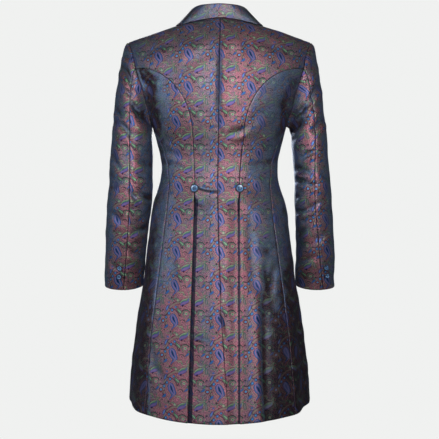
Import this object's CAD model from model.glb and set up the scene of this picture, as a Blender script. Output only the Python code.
# The frock coat's looks: fine cloth shells on the solid pieces, woven brocade, buttons, light and camera.
# Metres, +Z up, the coat's front faces -Y and the wearer's left is +X.
import math

import bmesh
import bpy
import numpy as np
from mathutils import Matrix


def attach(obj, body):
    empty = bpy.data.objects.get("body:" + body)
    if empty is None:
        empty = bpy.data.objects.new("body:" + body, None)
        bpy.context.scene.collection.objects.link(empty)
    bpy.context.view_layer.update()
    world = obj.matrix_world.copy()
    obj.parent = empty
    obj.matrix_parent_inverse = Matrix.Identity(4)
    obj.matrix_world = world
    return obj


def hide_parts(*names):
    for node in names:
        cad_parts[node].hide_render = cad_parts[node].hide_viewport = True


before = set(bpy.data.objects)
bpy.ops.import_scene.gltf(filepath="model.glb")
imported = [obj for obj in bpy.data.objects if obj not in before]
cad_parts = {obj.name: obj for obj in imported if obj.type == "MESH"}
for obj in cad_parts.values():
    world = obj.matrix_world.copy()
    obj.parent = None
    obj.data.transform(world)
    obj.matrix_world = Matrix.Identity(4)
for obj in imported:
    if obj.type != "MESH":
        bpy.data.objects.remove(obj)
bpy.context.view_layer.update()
print("frame loaded:", len(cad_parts), "nodes")

coatBody = {
    "columns": ("sideZ", "halfWidth", "backZ", "backY", "frontZ", "frontY", "square"),
    "sections": (
        (-0.935, 0.2280, -0.935, 0.1900, -0.935, -0.1830, 2.10),
        (-0.865, 0.2235, -0.865, 0.1790, -0.865, -0.1730, 2.10),
        (-0.795, 0.2175, -0.795, 0.1660, -0.795, -0.1630, 2.12),
        (-0.725, 0.2100, -0.725, 0.1530, -0.725, -0.1530, 2.15),
        (-0.655, 0.2000, -0.655, 0.1410, -0.655, -0.1440, 2.18),
        (-0.585, 0.1890, -0.585, 0.1300, -0.585, -0.1360, 2.20),
        (-0.515, 0.1800, -0.515, 0.1210, -0.515, -0.1300, 2.22),
        (-0.455, 0.1730, -0.455, 0.1120, -0.455, -0.1245, 2.25),
        (-0.405, 0.1645, -0.405, 0.1000, -0.405, -0.1180, 2.25),
        (-0.365, 0.1520, -0.365, 0.0880, -0.365, -0.1110, 2.25),
        (-0.325, 0.1445, -0.325, 0.0810, -0.325, -0.1065, 2.25),
        (-0.285, 0.1480, -0.285, 0.0850, -0.285, -0.1090, 2.28),
        (-0.250, 0.1560, -0.250, 0.0940, -0.250, -0.1160, 2.32),
        (-0.215, 0.1665, -0.215, 0.1040, -0.215, -0.1220, 2.36),
        (-0.175, 0.1805, -0.168, 0.1120, -0.170, -0.1250, 2.40),
        (-0.135, 0.1975, -0.118, 0.1155, -0.122, -0.1210, 2.40),
        (-0.098, 0.2150, -0.066, 0.1120, -0.075, -0.1080, 2.40),
        (-0.066, 0.2245, -0.020, 0.1020, -0.030, -0.0880, 2.40),
        (-0.038, 0.2272, 0.018, 0.0840, 0.012, -0.0610, 2.40),
        (-0.016, 0.2278, 0.049, 0.0540, 0.046, -0.0260, 2.40),
        (-0.002, 0.2275, 0.058, 0.0050, 0.058, 0.0050, 2.40),
    ),
    "armpitLevel": 13,
    "shoulderLevel": 20,
    "shoulderCurve": 1.35,
    "backArmholeCut": 0.31,
    "frontArmholeCut": 0.36,
    "armholeRound": 0.6,
    "tipRound": 0.22,
    # side, turn, swell, breadth, topZ, fullZ
    "folds": (
        (1, 0.62, 0.0050, 0.085, -0.42, -0.75),
        (1, 0.86, -0.0040, 0.080, -0.45, -0.80),
        (1, 1.20, 0.0050, 0.110, -0.45, -0.80),
        (1, 1.50, -0.0045, 0.100, -0.48, -0.82),
        (1, 1.74, 0.0045, 0.090, -0.50, -0.80),
        (-1, 0.55, 0.0060, 0.075, -0.45, -0.78),
        (-1, 0.74, -0.0045, 0.070, -0.50, -0.80),
        (-1, 1.14, 0.0045, 0.110, -0.44, -0.80),
        (-1, 1.44, -0.0050, 0.110, -0.46, -0.82),
        (-1, 1.70, 0.0040, 0.090, -0.50, -0.80),
    ),
}
topLevel, armpit = coatBody["shoulderLevel"], coatBody["armpitLevel"]
hand = {1: "left", -1: "right"}
mirror = {1: np.array([1, 1, 1]), -1: np.array([-1, 1, 1])}
cloth = {
    "thickness": 0.0014,
    # height and width, and the distance from the edge where there are three
    "seamDip": (-0.0006, 0.0012),
    "turning": (0.00013, 0.0030, 0.0050),
    "pucker": (0.00032, 0.010, 0.002),
    "edgeDip": (-0.0006, 0.0011),
    "topStitch": (-0.00025, 0.0018, 0.009),
    "freeEdge": (0.0004, 0.012),
    # how far sewn edges are drawn in on the face and let out on the reverse
    "seamGap": 0.00015,
    "seamClosed": -0.0002,
    # heights and depths between which the lower skirt's own tones come in, and the tone of a crease
    "lowZ": (-0.80, -0.42),
    "lowY": (-0.12, -0.01),
    "creaseTone": (170, -0.35, 0.95),
    # creases fade out towards the armholes, and unevenness is calmer beside an edge
    "armholeCalm": (0, 0.010),
    "edgeCalm": (0.4, 0.02),
    "waves": (0.150, 0.095, 0.060, 0.042, 0.028),
    "seed": 7,
    "seamShadow": 0.0002,
}
# a crease's trough and the roll of cloth beside it, as shares of its depth and width
crease = {"facing": (0.02, 0.30), "ends": (0.10, 0.90), "roll": 0.5, "rollAt": 1.8, "rollWidth": 1.2}


def naturalSpline(values):
    knots = np.array(values, float)
    count = len(knots)
    matrix = np.eye(count)
    right = np.zeros(count)
    for i in range(1, count - 1):
        matrix[i, i - 1 : i + 2] = (1, 4, 1)
        right[i] = 6 * (knots[i - 1] - 2 * knots[i] + knots[i + 1])
    bend = np.linalg.solve(matrix, right)

    def value(t):
        t = np.asarray(t, float)
        i = np.clip(np.floor(t).astype(int), 0, count - 2)
        f = t - i
        g = 1 - f
        return g * knots[i] + f * knots[i + 1] + ((g**3 - g) * bend[i] + (f**3 - f) * bend[i + 1]) / 6

    return value


def splines(names, rows):
    return {name: naturalSpline([row[i] for row in rows]) for i, name in enumerate(names)}


profile = splines(coatBody["columns"], coatBody["sections"])
fineLevels = np.linspace(0, topLevel, 801)


def smooth(low, high, value):
    share = np.clip((np.asarray(value, float) - low) / (high - low), 0, 1)
    return share * share * (3 - 2 * share)


def bell(value, width):
    return np.exp(-((value / width) ** 2))


def unit(vectors):
    return vectors / np.maximum(np.linalg.norm(vectors, axis=-1, keepdims=True), 1e-12)


# Length of cloth from the first line of a grid of points, along one of its two axes
def runLength(points, axis):
    steps = np.linalg.norm(np.diff(points, axis=axis), axis=-1)
    return np.insert(np.cumsum(steps, axis), 0, 0, axis)


# Halves a span again and again towards the value where a test starts to hold
def halved(low, high, holds):
    for _ in range(26):
        middle = (low + high) / 2
        above = holds(middle)
        low, high = np.where(above, low, middle), np.where(above, middle, high)
    return middle


def levelAt(z):
    return np.interp(z, profile["sideZ"](fineLevels), fineLevels)


def between(table, z):
    rows = sorted(table)
    return np.interp(z, [row[0] for row in rows], [row[1] for row in rows])


# The body surface: turn is 0 at the centre back, 1 at the side and 2 at the centre front
def superellipse(angle, square):
    sine, cosine = np.sin(angle), np.cos(angle)
    radius = (np.abs(sine) ** square + np.abs(cosine) ** square) ** (-1 / square)
    return radius * sine, radius * cosine


def bareBody(turn, level):
    turn, level = np.broadcast_arrays(np.asarray(turn, float), np.asarray(level, float))
    front = turn > 1
    angle = np.where(front, 2 - turn, turn) * math.pi / 2
    across, deep = superellipse(angle, profile["square"](level))
    centreY = np.where(front, profile["frontY"](level), profile["backY"](level))
    centreZ = np.where(front, profile["frontZ"](level), profile["backZ"](level))
    x = profile["halfWidth"](level) * across
    z = centreZ + (profile["sideZ"](level) - centreZ) * np.abs(across) ** coatBody["shoulderCurve"]
    return np.stack([x, centreY * deep, z], -1)


def drapedBody(turn, level, side):
    points = bareBody(turn, level)
    swell = np.zeros(points.shape[:-1])
    for foldSide, foldTurn, foldSwell, breadth, topZ, fullZ in coatBody["folds"]:
        if foldSide == side:
            depth = 1 - smooth(fullZ, topZ, points[..., 2])
            swell += foldSwell * depth * bell(np.asarray(turn) - foldTurn, breadth)
    reach = np.hypot(points[..., 0], points[..., 1])
    points[..., :2] *= (1 + swell / reach)[..., None]
    return points


def drapedNormal(turn, level, side):
    step = 1e-3
    back = turn <= 1
    short = coatBody["tipRound"] * smooth(topLevel - 3, topLevel - 1, level)
    turn = np.where(back, np.minimum(turn, 1 - short), np.maximum(turn, 1 + short))
    ahead = drapedBody(np.where(back, turn, turn + step), level, side)
    behind = drapedBody(np.where(back, turn - step, turn), level, side)
    low = np.minimum(level, topLevel - step)
    rise = drapedBody(turn, low + step, side) - drapedBody(turn, low, side)
    return unit(np.cross(rise, ahead - behind))


# Points and unit normals of the coat's outer face; the two sides of the shoulder seam share theirs
def body(turn, level, side):
    turn, level = np.broadcast_arrays(np.asarray(turn, float), np.asarray(level, float))
    shared = smooth(topLevel - 0.7, topLevel, level)[..., None] / 2
    own = drapedNormal(turn, level, side)
    beyond = drapedNormal(np.where(turn <= 1, 2 - turn + 1e-9, 2 - turn), level, side)
    normal = unit(own * (1 - shared) + beyond * shared)
    return drapedBody(turn, level, side) * mirror[side], normal * mirror[side]


def turnAt(x, level):
    def reached(angle):
        return profile["halfWidth"](level) * superellipse(angle, profile["square"](level))[0] > np.abs(x)

    return halved(np.zeros(np.shape(x)), np.full(np.shape(x), math.pi / 2), reached) / (math.pi / 2)


# The (turn, level) of the surface point seen at x and z, from behind or from in front
def place(x, z, front=False):
    x, z = np.broadcast_arrays(np.asarray(x, float), np.asarray(z, float))

    def turnFor(level):
        share = turnAt(x, level) * np.where(x < 0, -1, 1)
        return 2 - share if front else share

    def above(level):
        return bareBody(turnFor(level), level)[..., 2] > z

    level = halved(np.zeros(x.shape), np.full(x.shape, float(topLevel)), above)
    return turnFor(level), level


def armholeTurn(level, front):
    share = np.clip((level - armpit) / (topLevel - armpit), 0, 1)
    cut = np.sin(math.pi * share) ** coatBody["armholeRound"]
    return 1 + coatBody["frontArmholeCut"] * cut if front else 1 - coatBody["backArmholeCut"] * cut


def armholeLevel(share):
    return armpit + (topLevel - armpit) * np.asarray(share, float)


def asTurn(x, level):
    return x / profile["halfWidth"](level) / (math.pi / 2)


def spread(left, right, share):
    return tuple(a[:, None] * (1 - share) + b[:, None] * share for a, b in zip(left, right))


# Shares across a panel, close together beside its two seams
def seamShares(count):
    near = np.array([0, 0.006, 0.013, 0.022, 0.036])
    return np.concatenate([near, np.linspace(0.055, 0.945, count), 1 - near[::-1]])


print("body surface ready")

# Soft troughs (depth above 0) and ridges (below 0) seen from behind or in front, in millimetres:
# x0, z0, x1, z1, bow, width, depth
backCreases = (
    (56, -364, 4, -373, 2, 4.5, 5.0),
    (60, -396, 40, -408, 1, 5.0, 3.0),
    (-5, -660, -17, -708, -3, 6.5, 3.6),
    (72, -708, 30, -727, 2, 6.5, 3.8),
    (66, -776, 20, -800, -4, 9.0, 2.4),
    (-28, -239, -63, -225, 3, 6.5, 4.0),
    (-62, -317, -140, -298, 4, 8.0, 2.8),
    (-70, -341, -146, -314, -3, 9.0, 2.4),
    (66, -332, 140, -304, 3, 9.0, 2.2),
    (78, -300, 140, -276, 3, 9.0, 1.6),
    (198, -84, 166, -128, 5, 10.0, 5.2),
    (188, -78, 158, -106, 3, 8.0, 3.0),
    (176, -110, 156, -214, 4, 11.0, 5.4),
    (-178, -118, -157, -212, 4, 11.0, 3.0),
    (-106, -620, -111, -912, 2, 11.0, 4.2),
    (-90, -630, -94, -908, 2, 12.0, -2.2),
    (178, -770, 146, -802, 2, 7.0, 2.2),
    (166, -740, 128, -830, 5, 10.0, 2.2),
    (190, -640, 184, -880, 5, 14.0, 2.6),
    (-176, -797, -206, -773, 2, 6.0, -3.0),
    (-100, -515, -124, -526, 0, 8.0, 3.4),
    (-112, -540, -118, -610, 3, 9.0, 2.2),
    (-130, -560, -122, -640, 3, 9.0, 2.0),
    (-160, -640, -172, -890, 3, 13.0, 2.4),
    (-1, -2, 3, -225, 0, 6.0, 4.2),
    (104, -470, 112, -640, 4, 14.0, 2.2),
    (24, -640, 30, -890, 3, 15.0, 2.0),
    (10, -560, 26, -600, 2, 7.0, 1.6),
    (120, -24, 178, -46, 5, 10.0, 2.0),
    (-112, -18, -172, -42, 5, 10.0, 2.4),
    (-60, -10, -86, -60, 4, 10.0, 1.8),
    (-64, 30, -94, 10, 2, 9.0, 2.4),
    (30, -50, 84, -84, 5, 12.0, 1.4),
    (86, -430, 74, -560, 4, 12.0, 1.6),
    (-74, -440, -84, -600, 4, 12.0, 1.8),
)
frontCreases = (
    (150, -96, 174, -192, 4, 11.0, 4.6),
    (-152, -92, -174, -190, 4, 11.0, 4.2),
    (20, -272, 98, -244, 5, 8.0, 2.6),
    (-22, -276, -100, -250, 4, 8.0, 2.8),
    (14, -364, 94, -338, 4, 7.0, 3.0),
    (-16, -366, -90, -345, 5, 7.0, 2.6),
    (16, -300, 60, -292, 2, 7.0, 1.8),
    (60, -420, 78, -620, 5, 14.0, 2.6),
    (-70, -430, -86, -650, 4, 14.0, 2.6),
    (110, -520, 126, -890, 4, 14.0, 3.4),
    (-118, -540, -132, -890, 5, 13.0, 3.0),
    (40, -640, 44, -895, 3, 13.0, 2.4),
    (-36, -660, -42, -895, 3, 13.0, 2.2),
    (152, -770, 180, -798, 2, 7.0, 2.8),
    (176, -600, 190, -880, 4, 14.0, 2.6),
    (-176, -620, -190, -880, 4, 14.0, 2.6),
)
leftSleeveBack = (
    (236, -34, 217, -51, 1, 6.0, 3.6),
    (245, -62, 212, -118, -4, 7.5, 6.2),
    (231, -128, 211, -144, 1, 6.0, 4.4),
    (256, -164, 240, -190, 2, 6.0, 3.8),
    (254, -204, 212, -246, -4, 7.5, 5.6),
    (215, -156, 184, -181, 3, 9.0, 6.4),
    (206, -178, 160, -202, 4, 12.0, 7.6),
    (198, -222, 166, -261, -3, 11.0, -4.2),
    (200, -236, 172, -244, 1, 7.0, 2.6),
    (262, -288, 238, -326, 2, 7.0, 3.8),
    (218, -376, 196, -399, 1, 6.0, 4.2),
    (193, -381, 165, -394, 1, 6.5, 3.8),
    (206, -476, 176, -459, 2, 7.0, 4.2),
    (234, -350, 268, -368, 2, 8.0, 2.8),
    (264, -428, 236, -450, 2, 8.0, 2.8),
    (198, -298, 172, -310, 1, 7.0, 3.2),
    (204, -330, 178, -338, 1, 7.0, 2.6),
    (224, -518, 196, -535, 2, 8.0, 3.0),
    (268, -552, 250, -573, 1, 7.0, 2.4),
    (214, -420, 206, -470, 3, 10.0, 2.4),
    (226, -250, 220, -330, 3, 11.0, 2.6),
)
rightSleeveBack = (
    (-246, -114, -222, -164, 6, 7.5, 6.4),
    (-240, -164, -221, -184, 1, 6.0, 4.2),
    (-254, -202, -228, -230, 2, 6.5, 5.0),
    (-213, -157, -182, -191, -3, 8.0, 6.2),
    (-206, -190, -167, -230, -4, 12.0, 7.6),
    (-196, -236, -170, -262, 2, 9.0, 3.6),
    (-234, -279, -203, -293, 2, 6.0, 4.4),
    (-179, -311, -213, -328, 2, 6.5, 4.4),
    (-179, -340, -215, -355, 2, 6.5, 4.4),
    (-218, -364, -238, -357, 1, 5.5, 3.4),
    (-219, -417, -240, -404, 1, 5.5, 3.6),
    (-188, -426, -216, -421, 1, 6.0, 3.6),
    (-250, -328, -274, -352, 2, 8.0, 2.8),
    (-216, -468, -192, -486, 2, 8.0, 3.4),
    (-264, -478, -240, -500, 2, 8.0, 2.4),
    (-232, -538, -202, -554, 2, 8.0, 3.0),
    (-200, -380, -184, -396, 1, 7.0, 2.8),
    (-206, -450, -202, -520, 3, 10.0, 2.2),
    (-232, -60, -214, -96, 3, 9.0, 2.6),
)
leftSleeveFront = (
    (240, -66, 212, -116, -4, 8.0, 5.2),
    (228, -138, 192, -172, 3, 9.0, 5.2),
    (206, -184, 172, -216, 3, 10.0, 5.4),
    (256, -236, 210, -266, -3, 8.0, 3.8),
    (266, -328, 208, -348, 4, 7.0, 5.2),
    (262, -360, 202, -386, 4, 7.0, 6.0),
    (266, -394, 216, -414, 3, 7.0, 5.0),
    (216, -448, 186, -466, 2, 7.0, 3.4),
    (266, -518, 228, -536, 2, 8.0, 3.0),
    (232, -270, 226, -320, 3, 11.0, 2.6),
)
rightSleeveFront = (
    (-242, -62, -210, -120, -4, 8.0, 5.0),
    (-226, -134, -192, -174, 3, 9.0, 5.2),
    (-208, -182, -174, -212, 3, 10.0, 5.0),
    (-258, -244, -214, -272, -3, 8.0, 3.6),
    (-268, -324, -210, -342, 4, 7.0, 5.0),
    (-262, -356, -204, -380, 4, 7.0, 6.0),
    (-268, -390, -214, -412, 3, 7.0, 5.2),
    (-216, -444, -188, -460, 2, 7.0, 3.4),
    (-270, -510, -234, -530, 2, 8.0, 2.8),
    (-232, -276, -228, -318, 3, 11.0, 2.6),
)


def creaseHeight(points, normals, rows, facing):
    height = np.zeros(points.shape[:-1])
    seen = smooth(*crease["facing"], normals[..., 1] * facing)
    x, z = points[..., 0] * 1000, points[..., 2] * 1000
    for x0, z0, x1, z1, bow, width, depth in rows:
        length = math.hypot(x1 - x0, z1 - z0)
        along = ((x - x0) * (x1 - x0) + (z - z0) * (z1 - z0)) / length**2
        inside = np.clip(along, 0, 1)
        offset = ((x1 - x0) * (z - z0) - (z1 - z0) * (x - x0)) / length - bow * 4 * inside * (1 - inside)
        beyond = np.abs(along - inside) * length
        taper = bell(beyond, width) * np.sin(math.pi * np.clip(inside, *crease["ends"])) ** 0.5
        lean = 1 if x0 > x1 else -1
        roll = crease["roll"] * bell(offset - lean * crease["rollAt"] * width, crease["rollWidth"] * width)
        height += depth * 1e-3 * (roll - bell(offset, width)) * taper
    return height * seen


# Soft unevenness of pressed cloth, a sum of slow waves
def wander(points, amount, seed):
    chance = np.random.default_rng(seed)
    height = np.zeros(points.shape[:-1])
    for wave in cloth["waves"]:
        heading = chance.normal(size=3)
        heading *= 2 * math.pi / wave / np.linalg.norm(heading)
        second = chance.normal(size=3)
        second *= 2 * math.pi / (wave * 1.7) / np.linalg.norm(second)
        phase = chance.uniform(0, 6.28, 2)
        height += wave * np.sin(points @ heading + phase[0]) * np.cos(points @ second + phase[1])
    return amount * height / cloth["waves"][0]


def edgeDistances(outer):
    fromLeft, fromBottom = runLength(outer, 1), runLength(outer, 0)
    return {
        "L": (fromLeft, fromBottom),
        "R": (fromLeft[:, -1:] - fromLeft, fromBottom),
        "B": (fromBottom, fromLeft),
        "T": (fromBottom[-1:] - fromBottom, fromLeft),
    }


def raised(away, tall, width, at=0.0):
    return tall * bell(away - at, width)


# How sewn and free edges shape the cloth: a drawn-in seam, the turnings under it and small puckers
def edgeHeight(distances, sewn, free, pucker):
    height = np.zeros_like(distances["L"][0])
    nearest = np.full_like(height, 0.05)
    for edge in sewn:
        away, along = distances[edge]
        nearest = np.minimum(nearest, away)
        height += raised(away, *cloth["seamDip"]) + raised(away, *cloth["turning"])
        ripple = np.sin(along * 480 + 2 * np.sin(along * 37)) + 0.8 * np.sin(along * 205 + 1.3)
        tall, reach, start = cloth["pucker"]
        height += pucker * tall * ripple * np.exp(-((away / reach) ** 1.5)) * (1 - bell(away, start))
    for edge in free:
        away = distances[edge][0]
        height += raised(away, *cloth["edgeDip"]) + raised(away, *cloth["topStitch"])
    return height, nearest


def acrossTone(rows, points):
    return np.interp(points[..., 0] * 1000, [x for x, _ in rows], [tone for _, tone in rows])


def clothShell(name, outer, normals, grain, look, side, calm=1.0, shade=0.0, rosier=0.0):
    distances = edgeDistances(outer)
    height, nearest = edgeHeight(distances, look["sewn"], look["free"], look["pucker"])
    height = height * calm
    folds = np.zeros_like(height)
    for table, facing in look["creases"][side]:
        folds += creaseHeight(outer, normals, table, facing)
    folds = folds * calm * smooth(*cloth["armholeCalm"], fromArmhole(outer))
    height += folds
    least, reach = cloth["edgeCalm"]
    quiet = (least + (1 - least) * np.clip(nearest / reach, 0, 1)) * calm
    height += wander(outer, look["wander"], cloth["seed"]) * quiet
    thickness = np.full(height.shape, cloth["thickness"])
    for edge in look["free"]:
        thickness += raised(distances[edge][0], *cloth["freeEdge"])
    face = outer + normals * height[..., None]
    reverse = face - normals * thickness[..., None]
    drawnIn(reverse, look["sewn"], cloth["seamClosed"])
    tone = acrossTone(look["tone"][side], outer)
    low = (1 - smooth(*cloth["lowZ"], outer[..., 2])) * smooth(*cloth["lowY"], outer[..., 1])
    tone = tone + acrossTone(look["lowTone"][side], outer) * low
    gain, least, most = cloth["creaseTone"]
    tone = tone + np.clip(-folds * gain, least, most) - rosier
    nearest = nearest * (1 - shade) + cloth["seamShadow"] * shade
    return shellMesh(name, face, reverse, grain, nearest, tone)


def newPiece(name, shape):
    mesh = bpy.data.meshes.new(name)
    shape.to_mesh(mesh)
    shape.free()
    mesh.shade_smooth()
    piece = bpy.data.objects.new(name, mesh)
    bpy.context.scene.collection.objects.link(piece)
    return piece


# Joins the face and the reverse all round, with the tones and seam distances as attributes
def shellMesh(name, face, reverse, grain, nearest, tone):
    rows, cols = face.shape[:2]
    points = np.concatenate([face.reshape(-1, 3), reverse.reshape(-1, 3)])
    index = np.arange(rows * cols).reshape(rows, cols)
    quads = np.stack([index[:-1, :-1], index[:-1, 1:], index[1:, 1:], index[1:, :-1]], -1).reshape(-1, 4)
    below = rows * cols
    rim = np.concatenate([index[0], index[1:, -1], index[-1, -2::-1], index[-2:0:-1, 0]])
    after = np.roll(rim, -1)
    sides = np.stack([after, rim, rim + below, after + below], -1)
    faces = np.concatenate([quads, quads[:, ::-1] + below, sides])
    drawn = bpy.data.meshes.new(name)
    drawn.from_pydata(points.tolist(), [], faces.tolist())
    shape = bmesh.new()
    shape.from_mesh(drawn)
    if shape.calc_volume(signed=True) < 0:
        bmesh.ops.reverse_faces(shape, faces=shape.faces)
    piece = newPiece(name + "_cloth", shape)
    mesh = piece.data
    kind = np.zeros(len(faces), np.int32)
    kind[len(quads) : 2 * len(quads)] = 1
    mesh.polygons.foreach_set("material_index", kind)
    corners = np.empty(len(mesh.loops), np.int32)
    mesh.loops.foreach_get("vertex_index", corners)
    flat = np.concatenate([grain.reshape(-1, 2)] * 2)
    mesh.uv_layers.new(name="grain").data.foreach_set("uv", flat[corners].ravel().astype(np.float32))
    for label, values in (("seamDistance", nearest), ("tone", tone * np.ones_like(nearest))):
        both = np.concatenate([values.ravel()] * 2).astype(np.float32)
        mesh.attributes.new(label, "FLOAT", "POINT").data.foreach_set("value", both)
    return piece

backCut = {
    "waistZ": -0.370,
    "waistSeamX": {1: 0.0595, -1: 0.0480},
    "arcFootX": {1: 0.0640, -1: 0.0585},
    "arcFootZ": -0.243,
    "arcTopShare": 0.5,
    "pleatHemX": {1: 0.0735, -1: 0.0470},
    "backHemZ": -0.912,
    "sideHemZ": -0.889,
    "frontHemZ": -0.903,
    # z and metres across
    "centreLine": (
        (0.050, -0.0035),
        (-0.100, 0.0005),
        (-0.270, 0.0030),
        (-0.370, 0.0045),
        (-0.490, 0.0020),
        (-0.620, -0.0025),
    ),
    "ventLap": (
        (-0.620, 0),
        (-0.670, 0.0015),
        (-0.730, 0.0065),
        (-0.800, 0.0115),
        (-0.860, 0.0165),
        (-0.930, 0.0185),
    ),
    "ventSink": 0.0031,
    "ventUnderlap": 0.014,
    "pleatSink": 0.0062,
    "pleatUnderlap": 0.018,
    "foldRadius": 0.0023,
    "foldTuck": 0.020,
    "waistCurve": 1.6,
    "hemRound": 1.3,
    # heights over which each of these comes in, and the shares or metres across where it does
    "tuckZ": (-0.470, -0.425),
    "underlapZ": (-0.665, -0.615),
    "pleatSinkZ": (-0.405, -0.374),
    "pleatSinkAcross": (0.25, 0.95),
    "pleatSinkLeast": 0.15,
    "ventSinkZ": (-0.610, -0.560),
    "ventSinkAcross": (0.030, 0.055),
    "shadeZ": (-0.400, -0.372),
    "foldGlowZ": (-0.640, -0.560),
    "closeRowsZ": -0.550,
    "grainShift": 0.033,
    # z, degrees turned round the pleat's fold, metres tucked behind it
    "pleatStages": (
        (-0.550, 180, 0.020),
        (-0.492, 180, 0.020),
        (-0.462, 180, 0.014),
        (-0.440, 180, 0.007),
        (-0.423, 180, 0.001),
        (-0.409, 130, 0.0),
        (-0.397, 85, 0.0),
        (-0.385, 40, 0.0),
        (-0.370, 0, 0.0),
    ),
    "neckShoulderX": 0.080,
    "neckDip": 0.90,
    "yokeFoot": 15.4,
    "shadeFrom": {1: (0.77, 0.88), -1: (0.84, 0.92)},
    # less tone, its distance from the edge and its width
    "foldGlow": (0.9, 0.0028, 0.0015),
    "rows": {"skirt": 90, "pleat": 50, "waist": 34, "underArm": 8, "arc": 48, "yoke": 42, "frontArmhole": 80},
}
waistZ, backHemZ, arcFootZ = backCut["waistZ"], backCut["backHemZ"], backCut["arcFootZ"]
neckTurn = float(turnAt(backCut["neckShoulderX"], topLevel))
neckZ = float(bareBody(neckTurn, topLevel)[2])
rowCount = backCut["rows"]

# Lengths over the body's surface, round it from the centre back and up it from the waist
tableTurns = np.linspace(0, 2, 81)
tableLevels = np.linspace(0, topLevel, 401)
tablePoints = bareBody(tableTurns[None, :], tableLevels[:, None])
roundLength, upLength = runLength(tablePoints, 1), runLength(tablePoints, 0)
upLength -= upLength[np.searchsorted(tableLevels, levelAt(waistZ))]


def fromTable(table, turn, level):
    column = np.clip(turn / 2 * 80, 0, 79.999)
    row = np.clip(level / topLevel * 400, 0, 399.999)
    i, j = np.floor(row).astype(int), np.floor(column).astype(int)
    f, g = row - i, column - j
    low = table[i, j] * (1 - g) + table[i, j + 1] * g
    high = table[i + 1, j] * (1 - g) + table[i + 1, j + 1] * g
    return low * (1 - f) + high * f


def roundBody(turn, level):
    reach = fromTable(roundLength, np.where(turn > 2, 4 - turn, np.abs(turn)), level)
    whole = fromTable(roundLength, np.full(np.shape(turn), 2.0), level)
    return np.where(turn > 2, 2 * whole - reach, np.where(turn < 0, -reach, reach))


def upBody(turn, level):
    return fromTable(upLength, np.where(turn > 2, 4 - turn, np.abs(turn)), level)


def skirtHeights():
    lower = np.linspace(backHemZ, backCut["closeRowsZ"], rowCount["skirt"] + 1)[:-1]
    return np.concatenate([lower, np.linspace(backCut["closeRowsZ"], waistZ, rowCount["pleat"])])


def waistHeights():
    return np.linspace(waistZ, arcFootZ, rowCount["waist"] + 1)[1:]


def toHem(turn, level):
    knee, foot = levelAt(waistZ), levelAt(backHemZ)
    sideZ = backCut["sideHemZ"]
    middleZ = np.where(turn > 1, backCut["frontHemZ"], backHemZ)
    hem = levelAt(sideZ + (middleZ - sideZ) * np.abs(np.cos(turn * math.pi / 2)) ** backCut["hemRound"])
    share = np.clip((knee - level) / (knee - foot), 0, 1)
    return np.where(level < knee, knee - share * (knee - hem), level)


def neckDrop(turn):
    return backCut["neckDip"] * (1 - np.clip(np.abs(turn) / neckTurn, 0, 1) ** 3)


def pleatX(z, side):
    rise = (z - backHemZ) / (waistZ - backHemZ)
    foot = backCut["pleatHemX"][side]
    return foot + (backCut["waistSeamX"][side] - foot) * rise


# The pleat's edge, the waist seam and the arc to the armhole, from the hem up
def backSeam(side):
    waistX, footX = backCut["waistSeamX"][side], backCut["arcFootX"][side]
    skirt = place(pleatX(skirtHeights(), side), skirtHeights())
    z = waistHeights()
    rise = (z - waistZ) / (arcFootZ - waistZ)
    waist = place(waistX + (footX - waistX) * rise ** backCut["waistCurve"], z)
    endLevel = float(armholeLevel(backCut["arcTopShare"]))
    endTurn = float(armholeTurn(endLevel, False))
    end = bareBody(endTurn, endLevel)
    swing = np.linspace(0, math.pi / 2, rowCount["arc"] + 1)[1:-1]
    arcZ = arcFootZ + (end[2] - arcFootZ) * np.sin(swing)
    arc = place(footX + (end[0] - footX) * (1 - np.cos(swing)), arcZ)
    return tuple(np.concatenate(part) for part in zip(skirt, waist, arc, ([endTurn], [endLevel])))


# A line parallel to the pleat that carries straight on above the arc's foot
def grainTurn(level, side):
    z = profile["sideZ"](level)
    waist, foot = backCut["waistSeamX"][side], backCut["arcFootX"][side]
    above = np.clip((z - waistZ) / (arcFootZ - waistZ), 0, 1)
    return turnAt(np.where(z < waistZ, pleatX(z, side), waist + (foot - waist) * above), level)


sideSeam = {
    "line": (
        (-0.935, 0.1760),
        (-0.730, 0.1620),
        (-0.595, 0.1470),
        (-0.507, 0.1370),
        (-0.440, 0.1290),
        (-0.357, 0.1220),
        (-0.307, 0.1270),
        (-0.270, 0.1370),
        (-0.240, 0.1500),
    ),
}


def sideLevels():
    known = levelAt(np.concatenate([skirtHeights(), waistHeights()]))
    return np.concatenate([known, np.linspace(known[-1], armpit, rowCount["underArm"] + 1)[1:]])


def sideTurn(levels):
    top = (float(profile["sideZ"](armpit)), float(profile["halfWidth"](armpit)))
    z = profile["sideZ"](np.minimum(levels, armpit))
    x = np.minimum(between(sideSeam["line"] + (top,), z), profile["halfWidth"](levels))
    return np.where(levels >= armpit, 1.0, turnAt(x, levels))


# The armhole's edge at an angle that is 0 at the back and 90 at the shoulder
def armholeRim(angle):
    angle = np.mod(angle + 90, 360)
    front = angle > 180
    level = armholeLevel(np.where(front, 360 - angle, angle) / 180)
    return body(np.where(front, armholeTurn(level, True), armholeTurn(level, False)), level, 1)


rimLine = armholeRim(np.arange(0, 360, 3))[0]


def fromArmhole(points):
    leftHand = np.abs(points[..., :1]) * np.array([1, 0, 0]) + points * np.array([0, 1, 1])
    away = np.full(points.shape[:-1], 1.0)
    for spot in rimLine:
        away = np.minimum(away, np.linalg.norm(leftHand - spot, axis=-1))
    return away


def drawnIn(grid, edges, by=cloth["seamGap"]):
    for edge in edges:
        lines = grid.swapaxes(0, 1) if edge in "BT" else grid
        line, beside = (0, 1) if edge in "LB" else (-1, -2)
        along = unit(np.gradient(lines[:, line], axis=0))
        inward = lines[:, beside] - lines[:, line]
        lines[:, line] += by * unit(inward - along * (inward * along).sum(-1, keepdims=True))


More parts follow.
